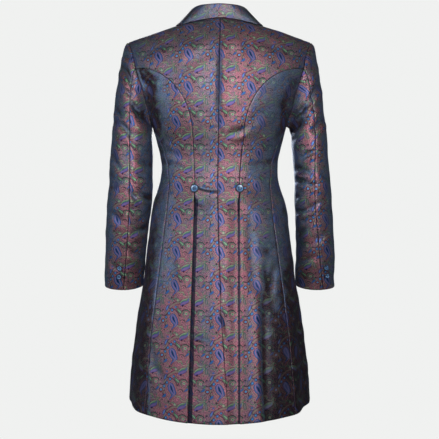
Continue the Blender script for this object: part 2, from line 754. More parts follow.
def centreSink(turn, z, side):
    x = turn * (math.pi / 2) * profile["halfWidth"](levelAt(z))
    share = np.clip(x / pleatX(z, side), 0, 1)
    least = backCut["pleatSinkLeast"]
    across = least + (1 - least) * smooth(*backCut["pleatSinkAcross"], share)
    sink = backCut["pleatSink"] * (1 - smooth(*backCut["pleatSinkZ"], z)) * across
    if side == -1:
        beside = 1 - smooth(*backCut["ventSinkAcross"], x)
        sink = sink + backCut["ventSink"] * (1 - smooth(*backCut["ventSinkZ"], z)) * beside
    return sink


centreBackLook = {
    "sewn": "LRT",
    "free": "B",
    "pucker": 1.0,
    "wander": 0.0010,
    "creases": {1: ((backCreases, 1),), -1: ((backCreases, 1),)},
    "tone": {
        1: ((0, 0.42), (30, 0.58), (60, 0.50), (150, 0.38), (220, 0.55)),
        -1: ((-220, 0.45), (-150, 0.28), (-60, 0.15), (-20, 0.20), (0, 0.38)),
    },
    "lowTone": {1: ((0, -0.22), (60, -0.38)), -1: ((-60, -0.20), (0, -0.08))},
    "flat": {1: (0.26, 1.03, 0.110), -1: (0.26, 1.03, 0.100)},
}


def centreBack(side):
    seam = backSeam(side)
    straight = len(skirtHeights()) + rowCount["waist"]
    yoke = armholeLevel(np.linspace(backCut["arcTopShare"], 1, rowCount["yoke"] + 1)[1:])
    rightLevel = np.concatenate([seam[1], yoke])
    tucked = backCut["pleatUnderlap"] * (1 - smooth(*backCut["tuckZ"], profile["sideZ"](rightLevel)))
    rightTurn = np.concatenate([seam[0], armholeTurn(yoke, False)]) + asTurn(tucked, rightLevel)
    foot = backCut["yokeFoot"]
    climb = np.linspace(seam[1][straight - 1], foot, rowCount["arc"] + 1)[1:]
    leftLevel = np.concatenate([seam[1][:straight], climb, np.linspace(foot, topLevel, len(yoke) + 1)[1:]])
    z = profile["sideZ"](leftLevel)
    underlap = backCut["ventUnderlap"] * (1 - smooth(*backCut["underlapZ"], z))
    lap = between(backCut["ventLap"], z) if side == 1 else underlap
    left = (asTurn(side * between(backCut["centreLine"], z) - lap, leftLevel), leftLevel)
    turn, level = spread(left, (rightTurn, rightLevel), seamShares(34))
    level = toHem(turn, level)
    level = level - neckDrop(turn) * np.clip((level - foot) / (topLevel - foot), 0, 1)
    outer, normal = body(turn, level, side)
    outer = outer - normal * centreSink(turn, outer[..., 2], side)[..., None]
    drawnIn(outer, "LR")
    grain = np.stack([roundBody(turn, level) * side, upBody(turn, level)], -1)
    share = turn * (math.pi / 2) * profile["halfWidth"](level) / pleatX(outer[..., 2], side)
    shade = smooth(*backCut["shadeFrom"][side], share) * (1 - smooth(*backCut["shadeZ"], outer[..., 2]))
    amount, at, breadth = backCut["foldGlow"]
    rosier = amount * bell(runLength(outer, 1) - at, breadth)
    rosier = rosier * (1 - smooth(*backCut["foldGlowZ"], outer[..., 2]))
    shape = (outer, normal, grain)
    return clothShell("back_" + hand[side], *shape, centreBackLook, side, shade=shade, rosier=rosier)


sideBackLook = {
    "sewn": "LR",
    "free": "B",
    "pucker": 1.0,
    "wander": 0.0010,
    "creases": {1: ((backCreases, 1),), -1: ((backCreases, 1),)},
    "tone": {
        1: ((50, 0.25), (85, 0.32), (112, 0.50), (135, 0.80), (150, 1.00)),
        -1: ((-140, 1.00), (-85, 0.85), (-62, 0.30), (-45, 0.05)),
    },
    "lowTone": {
        1: ((60, -0.35), (112, -0.65), (150, -1.10), (162, -0.70), (174, 0.95)),
        -1: ((-165, 1.35), (-125, 1.30), (-108, 0.85), (-95, -0.35), (-60, -0.05)),
    },
    "flat": {1: (0.19, 0.86, 0.098), -1: (0.20, 0.86, 0.110)},
}


# Its free edge turns under and is tucked behind it
def sideBack(side):
    left = backSeam(side)
    arcRows = rowCount["arc"] - rowCount["underArm"]
    underArm = armholeLevel(np.linspace(0, backCut["arcTopShare"], arcRows + 1)[1:])
    underArm[-1] -= 0.04
    rightLevel = np.concatenate([sideLevels(), underArm])
    above = rightLevel > armpit
    right = (np.where(above, armholeTurn(rightLevel, False), sideTurn(rightLevel)), rightLevel)
    z = bareBody(*left)[:, 2]
    stages = sorted(backCut["pleatStages"])
    turned = np.radians(np.interp(z, [stage[0] for stage in stages], [stage[1] for stage in stages]))
    tucked = np.interp(z, [stage[0] for stage in stages], [stage[2] for stage in stages])
    radius = backCut["foldRadius"]
    path = (turned * radius + tucked)[:, None]
    setBack = radius * np.sin(np.minimum(turned, math.pi / 2))[:, None]
    halfTurn = math.pi * radius
    width = np.linalg.norm(bareBody(*left) - bareBody(*right), axis=-1)[:, None]
    roundShare = halfTurn / (halfTurn + backCut["foldTuck"])
    behind = np.concatenate([np.linspace(1, roundShare, 7)[:-1], roundShare * np.linspace(1, 0, 9)])
    seamEnd = [0.964, 0.978, 0.987, 0.994, 1]
    ahead = np.concatenate([[0.008, 0.018, 0.032, 0.05], np.linspace(0.075, 0.945, 36), seamEnd])
    shaped = np.concatenate([-path * behind, (width - setBack) * ahead], 1)
    even = width * seamShares(len(behind) + len(ahead) - 10)
    mix = smooth(0, 1, turned / math.radians(80))[:, None]
    along = even * (1 - mix) + shaped * mix
    share = np.clip((setBack + np.maximum(along, 0)) / width, 0, 1)
    turn, level = spread(left, right, share)
    level = toHem(turn, level)
    face, normal = body(turn, level, side)
    start = (setBack / width)[:, 0]
    near, far = (
        body(beside, toHem(beside, height), side)[0]
        for beside, height in (spread(left, right, (start + step)[:, None]) for step in (0, 0.02))
    )
    away = unit(far - near)
    beyond = np.maximum(-along, 0)
    angle = np.minimum(beyond / radius, math.pi)[..., None]
    flatPart = np.maximum(beyond - halfTurn, 0)[..., None]
    outer = face + away * (flatPart - radius * np.sin(angle)) + normal * radius * (np.cos(angle) - 1)
    normal = unit(normal * np.cos(angle) - away * np.sin(angle))
    drawnIn(outer, "LR")
    across = roundBody(turn, level) - roundBody(grainTurn(level, side), level) - beyond
    grain = np.stack([(across + backCut["grainShift"]) * side, upBody(turn, level)], -1)
    calm = 1 - smooth(0.2, 2, angle[..., 0])
    rosier = 1.1 * bell(along - 0.0006, 0.0018) * mix
    shape = (outer, normal, grain)
    return clothShell("side_back_" + hand[side], *shape, sideBackLook, side, calm, rosier=rosier)


frontCut = {
    "lap": 0.020,
    "sink": 0.0031,
    "breakZ": -0.250,
    "gorgeZ": 0.012,
    "notch": (0.112, -0.0135),
    "lapelPoint": (0.160, -0.045),
    "lapelBelly": 0.012,
    "wrapRadius": 0.0036,
    "lift": 0.0009,
    "rollLift": 0.0024,
    "sinkZ": (-0.185, -0.130),
    "sinkAcross": (0.035, 0.070),
    "grainShift": 0.02,
    "lapelFoot": {1: -0.244, -1: -0.176},
    "leastLapel": 0.006,
    "wrapZ": (-0.175, -0.125),
    "wrapUnder": 0.0016,
    "cloth": 0.002,
}
frontLook = {
    "sewn": "LT",
    "free": "BR",
    "pucker": 0.9,
    "wander": 0.0012,
    "creases": {1: ((frontCreases, -1), (backCreases, 1)), -1: ((frontCreases, -1), (backCreases, 1))},
    "tone": {
        1: ((0, 0.15), (60, 0.30), (120, 0.60), (180, 0.90)),
        -1: ((-180, 0.80), (-110, 0.50), (-50, 0.20), (0, 0.10)),
    },
    "lowTone": {1: ((0, 0.0), (110, 0.0), (170, 1.35)), -1: ((-170, 1.20), (-110, 0.0), (0, 0.0))},
    "flat": {1: (0.48, 1.01, 0.315), -1: (0.48, 1.01, 0.315)},
}


breakZ = frontCut["breakZ"]


def rollLine(z):
    run = (backCut["neckShoulderX"] + frontCut["lap"]) / (neckZ - breakZ)
    return -frontCut["lap"] + run * (np.asarray(z, float) - breakZ)


def frontSink(turn, z, side):
    x = (2 - turn) * (math.pi / 2) * profile["halfWidth"](levelAt(z))
    beside = 1 - smooth(*frontCut["sinkAcross"], x)
    return frontCut["sink"] * (1 - smooth(*frontCut["sinkZ"], z)) * beside * (side == -1)


def frontEdge(levels):
    z = np.linspace(breakZ, neckZ, 160)
    turn, level = place(rollLine(z), z, front=True)
    return np.where(levels <= level[0], 2 + asTurn(frontCut["lap"], levels), np.interp(levels, level, turn))


def front(side):
    levels = np.concatenate([sideLevels(), armholeLevel(np.linspace(0, 1, rowCount["frontArmhole"])[1:])])
    leftTurn = np.where(levels > armpit, armholeTurn(levels, True), sideTurn(levels))
    turn, level = spread((leftTurn, levels), (frontEdge(levels), levels), seamShares(60))
    level = toHem(turn, level)
    outer, normal = body(turn, level, side)
    outer = outer - normal * frontSink(turn, outer[..., 2], side)[..., None]
    drawnIn(outer, "LR")
    across = roundBody(np.full(turn.shape, 2.0), level) - roundBody(turn, level)
    grain = np.stack([across * side + frontCut["grainShift"], upBody(turn, level)], -1)
    return clothShell("front_" + hand[side], outer, normal, grain, frontLook, side)


lapelLook = {
    "sewn": "T",
    "free": "RB",
    "pucker": 0.5,
    "wander": 0.0010,
    "creases": {1: (), -1: ()},
    "tone": {1: ((0, 0.20), (60, 0.35), (160, 0.70)), -1: ((-160, 0.60), (-60, 0.25), (0, 0.15))},
    "lowTone": {1: ((0, 0.0),), -1: ((0, 0.0),)},
    "flat": {1: (0.12, 0.27, 0.0215), -1: (0.12, 0.20, 0.019)},
}


def lapel(side):
    footZ = frontCut["lapelFoot"][side]
    rise = np.linspace(0, 1, 62)
    rollZ = footZ + (frontCut["gorgeZ"] - footZ) * rise
    edgeZ = footZ + (frontCut["lapelPoint"][1] - footZ) * rise
    pointX, pointZ = frontCut["lapelPoint"]
    opened = (edgeZ - breakZ) / (pointZ - breakZ)
    foldX = rollLine(breakZ)
    edgeX = foldX + (pointX - foldX) * opened + frontCut["lapelBelly"] * np.sin(math.pi * opened)
    edgeX = np.maximum(edgeX, rollLine(edgeZ) + frontCut["leastLapel"])
    wrapped = np.linspace(1, 0, 8)[:-1]
    flat = np.concatenate([np.linspace(0, 0.93, 20), [0.955, 0.975, 0.99, 1]])
    share = np.concatenate([np.zeros(len(wrapped)), flat])
    turned = np.concatenate([wrapped, np.zeros(len(flat))])
    turn, level = spread(place(rollLine(rollZ), rollZ, front=True), place(edgeX, edgeZ, front=True), share)
    face, normal = body(turn, level, side)
    away = unit(face[:, len(wrapped) + 2] - face[:, len(wrapped)])[:, None]
    wrap = smooth(*frontCut["wrapZ"], rollZ)[:, None]
    lift = frontCut["lift"] + frontCut["rollLift"] * wrap * (1 - share) ** 2
    lift = lift - frontSink(turn, face[..., 2], side)
    angle = (math.pi * wrap * turned)[..., None]
    stretch = (frontCut["wrapUnder"] * turned * (1 - wrap))[..., None]
    radius = frontCut["wrapRadius"]
    out = (lift + frontCut["cloth"] - radius)[..., None] + radius * np.cos(angle)
    outer = face - away * (radius * np.sin(angle) + stretch) + normal * out
    normal = unit(normal * np.cos(angle) - away * np.sin(angle))
    drawnIn(outer, "T", 0.0005)
    across = np.linalg.norm(outer - outer[:, len(wrapped) : len(wrapped) + 1], axis=-1)
    grain = np.stack([across * side, np.broadcast_to((rollZ[:, None]), across.shape)], -1)
    calm = 1 - smooth(0.2, 2, angle[..., 0])
    return clothShell("lapel_" + hand[side], outer, normal, grain, lapelLook, side, calm)


collarCut = {
    # neck seam to roll edge, centre back to gorge: x, y, z
    "stand": (
        (0.0000, 0.0060, 0.0260),
        (-0.0030, 0.0070, 0.0280),
        (-0.0100, 0.0065, 0.0310),
        (-0.0130, 0.0030, 0.0265),
        (-0.0065, -0.0020, 0.0110),
        (-0.0005, -0.0012, 0.0008),
    ),
    # outer edge on the body: station, x, z
    "behind": ((0.00, 0.000, 0.0462), (0.13, 0.040, 0.0425), (0.25, 0.074, 0.0360), (0.36, 0.097, 0.0300)),
    "shoulderX": 0.108,
    "hump": 0.0012,
    "before": ((0.62, 0.1180, 0.0260), (0.80, 0.1310, 0.0185), (1.00, 0.1360, 0.0040)),
    "cloth": 0.002,
    "footOff": 0.0025,
    "standShare": 0.93,
    "fallEase": 1.3,
    # station and breadth of the hump over the shoulder, and where the front end bends to the notch
    "humpAt": (0.49, 0.09),
    "endFrom": 0.84,
    "endBend": 0.6,
    "grainShift": 0.03,
}
collarLook = {
    "sewn": "",
    "free": "LRBT",
    "pucker": 0.0,
    "wander": 0.0006,
    "creases": {1: (), -1: ()},
    "tone": {1: ((-110, 1.90), (-60, 0.95), (0, 0.55), (60, 0.90), (110, 1.80))},
    "lowTone": {1: ((0, 0.0),)},
    "flat": {1: (0.44, 0.10, 0.034)},
}


def collarEdge(stations):
    backAt, backX, backZ = zip(*collarCut["behind"])
    frontAt, frontX, frontZ = zip(*collarCut["before"])
    behind, before = place(backX, backZ), place(frontX, frontZ, front=True)
    over = float(turnAt(collarCut["shoulderX"], topLevel))
    lines = []
    for back, backEnd, frontStart, ahead in (
        (behind[0], over, 2 - over, before[0]),
        (behind[1], topLevel, topLevel, before[1]),
    ):
        onBack = np.interp(stations, (*backAt, 0.5), (*back, backEnd))
        onFront = np.interp(stations, (0.5, *frontAt), (frontStart, *ahead))
        lines.append(np.where(stations <= 0.5, onBack, onFront))
    return lines


def collarSeam(stations):
    turn = neckTurn * np.minimum(stations * 2, 1)
    z = neckZ + (frontCut["gorgeZ"] + 0.0008 - neckZ) * np.clip(stations * 2 - 1, 0, 1)
    frontTurn, frontLevel = place(rollLine(z), z, front=True)
    onBack = stations <= 0.5
    return np.where(onBack, turn, frontTurn), np.where(onBack, topLevel - neckDrop(turn), frontLevel)


def collar():
    stations = np.linspace(0, 1, 56)
    seam, edge = collarSeam(stations), collarEdge(stations)
    start, startNormal = body(*seam, 1)
    off = unit(np.cross(np.gradient(start, axis=0), startNormal))
    off[0, 0] = 0
    where = stations * (len(collarCut["stand"]) - 1)
    stand = np.stack([line(where) for line in splines("xyz", collarCut["stand"]).values()], -1)
    foot = start - startNormal * collarCut["cloth"] / 2 + off * collarCut["footOff"]
    upright = [foot + stand * collarCut["standShare"] * height for height in np.linspace(0, 1, 8)]
    notch, bend = place(*frontCut["notch"], front=True), collarCut["endBend"]
    middleEnd = [a[-1] * (1 - bend) + b[-1] * bend for a, b in zip(seam, edge)]
    fall = []
    for share in np.concatenate([np.linspace(0, 0.94, 18), [0.96, 0.975, 0.99, 1]]):
        turn, level = (a * (1 - share) + b * share for a, b in zip(seam, edge))
        bent = smooth(collarCut["endFrom"], 1, stations) * min(share / bend, (1 - share) / (1 - bend))
        turn, level = turn + bent * (notch[0] - middleEnd[0]), level + bent * (notch[1] - middleEnd[1])
        face, normal = body(turn, level, 1)
        at, breadth = collarCut["humpAt"]
        hump = collarCut["hump"] * share * bell(stations - at, breadth)
        lift = frontCut["lift"] + frontCut["rollLift"] * (1 - share) + hump + collarCut["cloth"] / 2
        fall.append(face + normal * lift[:, None] + stand * (1 - share) ** collarCut["fallEase"])
    across = fall[0] - upright[-1]
    over = unit(stand * 40 + off)
    over = unit(over - unit(across) * (over * unit(across)).sum(-1, keepdims=True))
    radius = np.linalg.norm(across, axis=-1, keepdims=True) / 2
    middle = (fall[0] + upright[-1]) / 2
    roll = [
        middle - across / 2 * math.cos(angle) + over * radius * math.sin(angle)
        for angle in np.linspace(0, math.pi, 9)[1:-1]
    ]
    half = np.stack([*upright, *roll, *fall], 1)
    grid = np.concatenate([half[:0:-1] * mirror[-1], half])
    normal = unit(np.cross(np.gradient(grid, axis=0), np.gradient(grid, axis=1)))
    outer = grid + normal * collarCut["cloth"] / 2
    lengthwise = runLength(outer[:, -8], 0)
    lengthwise = lengthwise - lengthwise[-1] / 2
    crosswise = collarCut["grainShift"] - runLength(half[0], 0)
    grain = np.stack(np.broadcast_arrays(lengthwise[:, None], crosswise), -1)
    return clothShell("collar", outer, normal, grain, collarLook, 1)


sleeveCut = {
    "columns": ("z", "x", "y", "halfWidth", "halfDepth", "tilt"),
    "rings": (
        (-0.255, 0.2215, -0.003, 0.0475, 0.0700, 0.0),
        (-0.330, 0.2250, -0.001, 0.0495, 0.0650, 2.0),
        (-0.400, 0.2290, -0.004, 0.0510, 0.0600, 5.0),
        (-0.470, 0.2335, -0.013, 0.0520, 0.0550, 8.0),
        (-0.543, 0.2385, -0.027, 0.0510, 0.0490, 11.0),
        (-0.611, 0.2430, -0.044, 0.0495, 0.0430, 13.0),
    ),
    # inward move of the inner side and outward twist in degrees, from the armpit to the cuff
    "hang": {
        1: ((0.006, -1), (0.009, -3), (0.008, -6), (0.003, -8), (0.0, -7), (0.0, -3)),
        -1: ((-0.007, 10), (-0.011, 1), (-0.011, -2), (-0.010, 3), (-0.006, 10), (0.0, 20)),
    },
    "capDrop": 0.25,
    "capSpread": 0.060,
    "capRise": 0.3,
    "capFall": -0.002,
    "ringPitch": 0.075,
    "seamGap": 0.0004,
    "capRows": 56,
    "armRows": 122,
    "columnAngle": 3.4,
    "grainShift": 0.115,
    # from and to angle round the arm, from the hind seam
    "top": (0, 216),
    "under": (216, 360),
}
topSleeveLook = {
    "sewn": "LRB",
    "free": "T",
    "pucker": 1.1,
    "wander": 0.0013,
    "creases": {
        1: ((leftSleeveBack, 1), (leftSleeveFront, -1)),
        -1: ((rightSleeveBack, 1), (rightSleeveFront, -1)),
    },
    "tone": {
        1: ((170, 0.55), (200, 0.25), (230, 0.20), (262, 0.45)),
        -1: ((-275, 0.55), (-240, 0.30), (-205, 0.10), (-175, 0.55)),
    },
    "lowTone": {1: ((0, -0.5),), -1: ((0, -0.2),)},
    "flat": {1: (0.27, 0.64, 0.122), -1: (0.27, 0.64, 0.117)},
}
underSleeveLook = {
    **topSleeveLook,
    "tone": {
        1: ((170, 0.65), (200, 0.25), (230, 0.20), (262, 0.45)),
        -1: ((-275, 0.55), (-240, 0.30), (-205, 0.10), (-175, 0.65)),
    },
    "flat": {1: (0.20, 0.56, 0.069), -1: (0.20, 0.56, 0.067)},
}
sleeveProfile = splines(sleeveCut["columns"], sleeveCut["rings"])
sleeveHang = {side: splines(("inward", "twist"), rows) for side, rows in sleeveCut["hang"].items()}


def sleeveRing(angle, index, side):
    turn = np.radians(angle + sleeveHang[side]["twist"](index))
    dy = sleeveProfile["halfDepth"](index) * np.cos(turn)
    x = sleeveProfile["x"](index) + sleeveProfile["halfWidth"](index) * np.sin(turn)
    x = x - sleeveHang[side]["inward"](index) * (1 - np.sin(turn)) / 2
    z = sleeveProfile["z"](index) - dy * np.tan(np.radians(sleeveProfile["tilt"](index)))
    return np.stack(np.broadcast_arrays(x, sleeveProfile["y"](index) + dy, z), -1)


def sleeveStart(angle):
    point, normal = armholeRim(angle)
    ahead, behind = armholeRim(angle + 3)[0], armholeRim(angle - 3)[0]
    return point + unit(np.cross(normal, ahead - behind)) * sleeveCut["seamGap"], normal


def sleevePoint(angle, down, side):
    angle, down = np.broadcast_arrays(np.asarray(angle, float), np.asarray(down, float))
    start = sleeveStart(angle)[0]
    end = sleeveRing(angle, 0.0, side)
    reach = np.linalg.norm(end - start, axis=-1, keepdims=True) / sleeveCut["capDrop"]
    leave = np.zeros(start.shape) + (sleeveCut["capSpread"], 0, sleeveCut["capFall"])
    leave[..., 1] = sleeveCut["capRise"] * start[..., 1]
    arrive = (sleeveRing(angle, 0.05, side) - end) / 0.05 * sleeveCut["capDrop"] / sleeveCut["ringPitch"]
    s = np.minimum(down, 1)[..., None]
    cap = (2 * s**3 - 3 * s**2 + 1) * start + (s**3 - 2 * s**2 + s) * leave * reach
    cap += (3 * s**2 - 2 * s**3) * end + (s**3 - s**2) * arrive * reach
    return np.where(s < 1, cap, sleeveRing(angle, np.maximum(down - 1, 0), side))


def sleeve(name, first, last, side, look):
    cap, arm = np.linspace(0.04, 1, sleeveCut["capRows"]), np.linspace(1, 5.95, sleeveCut["armRows"])[1:]
    rows = np.concatenate([[0, 0.006, 0.014, 0.025], cap, arm, [5.97, 5.985, 6]])
    columns = first + (last - first) * seamShares(round((last - first) / sleeveCut["columnAngle"]))
    angle, down = np.broadcast_arrays(columns[None, :], rows[:, None])
    outer = sleevePoint(angle, down, side)
    turning = sleevePoint(angle + 0.5, down, side) - sleevePoint(angle - 0.5, down, side)
    step = np.where(down < 0.999, 0.02, -0.02)
    falling = (sleevePoint(angle, down + step, side) - outer) * np.sign(step)[..., None]
    own = unit(np.cross(turning, falling))
    share = smooth(0, 0.15, down)[..., None]
    normal = unit(own * share + sleeveStart(angle)[1] * (1 - share))
    drawnIn(outer, "LR")
    middle = outer.shape[1] // 2
    around, along = runLength(outer, 1), runLength(outer, 0)
    around = around - around[:, middle : middle + 1]
    ring = int(np.searchsorted(rows, 1.0))
    along = along - along[ring : ring + 1] - sleeveCut["grainShift"]
    grain = np.stack([around * side, -along], -1)
    return clothShell(name + hand[side], outer * mirror[side], normal * mirror[side], grain, look, side)


def topSleeve(side):
    return sleeve("top_sleeve_", *sleeveCut["top"], side, topSleeveLook)


def underSleeve(side):
    return sleeve("under_sleeve_", *sleeveCut["under"], side, underSleeveLook)


print("patterns drafted")

# Silk threads, linear colours
thread = {
    "rose": (0.450, 0.138, 0.205),
    "lilac": (0.205, 0.158, 0.240),
    "steel": (0.110, 0.205, 0.330),
    "deep": (0.007, 0.010, 0.020),
    "blue": (0.026, 0.115, 0.330),
    "sky": (0.060, 0.300, 0.560),
    "violet": (0.110, 0.090, 0.340),
    "mauve": (0.270, 0.140, 0.220),
    "green": (0.045, 0.170, 0.095),
    "pale": (0.260, 0.380, 0.230),
    "olive": (0.200, 0.170, 0.125),
    "wine": (0.150, 0.020, 0.045),
    "dark": (0.008, 0.009, 0.022),
    "blush": (0.640, 0.225, 0.280),
    "grit": (0.050, 0.022, 0.028),
    "rubbed": (0.420, 0.150, 0.200),
}
paisley = {
    "repeat": (75.0, 80.0),
    "drift": (0.09, 1.5, "Color"),
    "driftReach": 2.4,
    "waverReach": 2.4,
    # softness of a tendril, a drawn line, a fill's edge and an arc's end
    "tendrilSoft": 0.010,
    "lineSoft": 0.5,
    "fillSoft": 0.4,
    "arcSoft": 0.1,
    "raisedFrom": (0.02, 0.16),
    # noise scale, level, half width, thread, amount
    "tendrils": (
        (2.6, 0.46, 0.022, "olive", 0.75),
        (2.6, 0.56, 0.014, "blush", 0.65),
        (2.6, 0.62, 0.020, "dark", 0.55),
        (2.6, 0.38, 0.014, "dark", 0.60),
        (2.6, 0.34, 0.018, "violet", 0.50),
        (5.2, 0.48, 0.018, "wine", 0.55),
        (5.2, 0.55, 0.014, "pale", 0.40),
        (5.2, 0.40, 0.016, "blush", 0.55),
    ),
    # noise scale, from, to, thread, amount
    "flecks": ((7.5, 0.60, 0.65, "green", 0.65), (7.5, 0.41, 0.36, "dark", 0.65)),
    # centre, turn, length, width, curl,
    # outlines (level, half width, thread, amount), fills (from, thread, amount)
    "drops": (
        ((0, 0), 192, 37, 17.0, 11.0,
         ((-6.6, 1.0, "olive", 0.65), (-4.7, 0.6, "wine", 0.55), (-3.0, 0.7, "blush", 0.32)),
         ((-1.2, "dark", 0.75), (0.0, "blue", 0.92), (2.7, "mauve", 0.92), (4.7, "blue", 0.92),
          (6.4, "dark", 0.85))),
        ((-30, -29), -58, 33, 12.0, -5.0, ((-2.6, 0.6, "wine", 0.5),),
         ((-0.8, "dark", 0.55), (0.2, "pale", 0.75), (2.4, "green", 0.75))),
        ((-27.5, -33.5), -58, 29, 8.0, -5.0, (),
         ((-0.7, "dark", 0.55), (0.2, "violet", 0.92), (2.4, "mauve", 0.6))),
        ((19, -12), 128, 14, 4.8, 0.5, (), ((-0.9, "dark", 0.55), (0.0, "blue", 0.95))),
        ((-13, 27), 40, 20, 7.0, 4.0, ((-2.4, 0.6, "wine", 0.55),),
         ((-0.5, "dark", 0.5), (0.2, "green", 0.85), (2.0, "pale", 0.7))),
        ((17, 33), -30, 17, 6.0, 3.0, (), ((-0.8, "dark", 0.55), (0.2, "violet", 0.85), (1.8, "sky", 0.8))),
        ((32, -30), 15, 20, 6.5, -3.0, ((-2.4, 0.6, "olive", 0.7),),
         ((-0.5, "dark", 0.5), (0.3, "green", 0.8), (1.9, "mauve", 0.8))),
        ((-18, -10), 70, 15, 5.0, 2.5, (), ((-0.6, "wine", 0.7), (0.6, "pale", 0.6))),
        ((-36, 4), 128, 13, 4.4, 0.5, (), ((-0.9, "dark", 0.55), (0.0, "blue", 0.95))),
    ),
    # centre, then discs (radius, thread, amount)
    "beads": (
        ((-4, 34), ((3.5, "dark", 0.65), (2.6, "blue", 0.95), (1.3, "sky", 0.9))),
        ((5, 27), ((4.0, "dark", 0.65), (3.1, "blue", 0.95), (1.7, "sky", 0.9))),
        ((13, 19), ((4.2, "dark", 0.65), (3.3, "blue", 0.95), (1.8, "sky", 0.9))),
        ((20, 10), ((3.8, "dark", 0.65), (2.9, "blue", 0.95), (1.5, "sky", 0.9))),
        ((28, 1), ((7.4, "olive", 0.65), (5.4, "wine", 0.92), (2.7, "sky", 0.95))),
        ((-31, 19), ((3.6, "pale", 0.85), (1.6, "green", 0.9))),
        ((-9, -30), ((2.8, "pale", 0.8),)),
        ((7, -24), ((2.6, "dark", 0.8),)),
        ((-22, 38), ((2.5, "dark", 0.8),)),
        ((35, 12), ((2.6, "green", 0.9),)),
        ((14, -36), ((2.6, "blue", 0.8),)),
        ((-14, 14), ((1.9, "dark", 0.75),)),
        ((24, -20), ((2.0, "dark", 0.75),)),
        ((-24, -16), ((2.1, "green", 0.85),)),
        ((30, 27), ((2.1, "dark", 0.75),)),
        ((2, -36), ((1.9, "wine", 0.85),)),
    ),
    # centre, radius, half width, from and to angle, thread, amount
    "scrolls": (
        ((-16, 8), 37.0, 1.9, -0.5, 1.9, "olive", 0.85),
        ((-16, 8), 39.8, 0.9, -0.5, 1.9, "dark", 0.60),
        ((-16, 8), 33.6, 0.9, -0.4, 1.7, "wine", 0.60),
        ((-31, 19), 8.0, 1.2, -1.2, 3.0, "green", 0.85),
        ((-29, 16), 12.5, 1.1, -0.3, 2.6, "dark", 0.80),
        ((4, 12), 17.0, 1.1, 1.7, 3.0, "dark", 0.80),
        ((-4, -36), 10.5, 1.2, 0.3, 2.9, "green", 0.8),
        ((22, -26), 12.5, 1.1, 2.0, 3.1, "olive", 0.75),
        ((26, 22), 9.0, 1.1, -2.9, -0.8, "dark", 0.80),
        ((-32, -12), 9.5, 1.0, -2.8, -0.2, "pale", 0.60),
        ((12, -20), 8.0, 1.1, -3.0, -0.6, "green", 0.75),
        ((-6, -24), 8.5, 1.0, -1.4, 1.4, "wine", 0.80),
        ((14, -6), 8.0, 1.0, -1.2, 1.2, "dark", 0.75),
        ((-22, -2), 7.0, 1.0, 0.6, 3.0, "dark", 0.80),
        ((33, -12), 6.5, 1.1, -2.2, 0.6, "green", 0.85),
        ((-10, -16), 6.0, 0.9, 1.2, 3.0, "pale", 0.70),
        ((8, 36), 7.0, 1.0, -2.6, -0.2, "dark", 0.75),
    ),
}
# shares of a drop's length and width: how full it is, how its tail bends, and the hook at the tail's end
dropShape = {"girth": 1.30, "bend": 2.0, "hookFrom": (0.68, 1.02), "hook": 1.7}
shot = {
    # noise scale and detail
    "cloud": (0.045, 3.0),
    "patch": (0.012, 2.0),
    "speck": (0.42, 3.0),
    "cloudTone": 1.5,
    "sideTone": 0.85,
    "riseTone": 0.15,
    "speckTone": 1.9,
    "lean": 0.05,
    # from and to, then an amount where there is one
    "sideways": (0.30, 0.95),
    "rising": (0.20, 0.80),
    "roseToLilac": (0.0, 0.50),
    "lilacToSteel": (0.50, 0.95),
    "steelToDeep": (1.25, 2.00),
    "gritty": (-0.06, 0.10, 0.62),
    "falling": (-0.10, -0.62, 0.85),
    "lying": (0.08, 0.75, 0.55),
    "veil": (0.55, 1.15),
}
weave = {"lean": 0.5, "crossed": 0.6, "slub": 0.5, "slubStretch": (0.10, 1.7, 1.0), "slubScale": 1.0}
# metres from the seam, falling or rising
seam = {"dark": (0.0014, 0.0002), "rubRises": (0.0012, 0.0024), "rubFalls": (0.0050, 0.0026)}
silk = {
    "sheen": 0.03,
    "sheenRoughness": 0.35,
    "sheenTint": (0.50, 0.66, 1.0),
    "specular": 0.30,
    "edge": (0.38, 0.46, 0.62),
    "metallic": 0.62,
    "roughness": 0.41,
    "raisedRoughness": 0.10,
    "figureStrength": 0.98,
    "veilStrength": 0.62,
    "slubShade": 0.30,
    "weavePitch": 0.62,
    "weaveBump": (0.5, 0.00022),
    "reverse": (0.010, 0.010, 0.015),
    "reversePale": (0.030, 0.028, 0.040),
    "reverseRoughness": 0.85,
    "reversePitch": 0.75,
    "reverseBump": (0.4, 0.0002),
}


# A socket in a node tree that adds and multiplies as a number does
class Socket:
    def __init__(self, tree, socket):
        self.tree = tree
        self.socket = socket

    def __add__(self, other):
        return calc("ADD", self, other)

    def __sub__(self, other):
        return calc("SUBTRACT", self, other)

    def __rsub__(self, other):
        return calc("SUBTRACT", other, self)

    def __mul__(self, other):
        return calc("MULTIPLY", self, other)

    def __truediv__(self, other):
        return calc("DIVIDE", self, other)

    def __pow__(self, other):
        return calc("POWER", self, other)

    def __abs__(self):
        return calc("ABSOLUTE", self)


# Links a value to a socket or sets a constant on it; colours come without their alpha
def feed(socket, value):
    if isinstance(value, Socket):
        value.tree.links.new(value.socket, socket)
    elif isinstance(value, tuple) and len(socket.default_value) > len(value):
        socket.default_value = (*value, 1.0)
    else:
        socket.default_value = value


def newNode(tree, kind, inputs=None, output=0, **settings):
    node = tree.nodes.new(kind)
    for label, setting in settings.items():
        setattr(node, label, setting)
    for label, value in (inputs or {}).items():
        feed(node.inputs[label], value)
    return Socket(tree, node.outputs[output]) if node.outputs else node


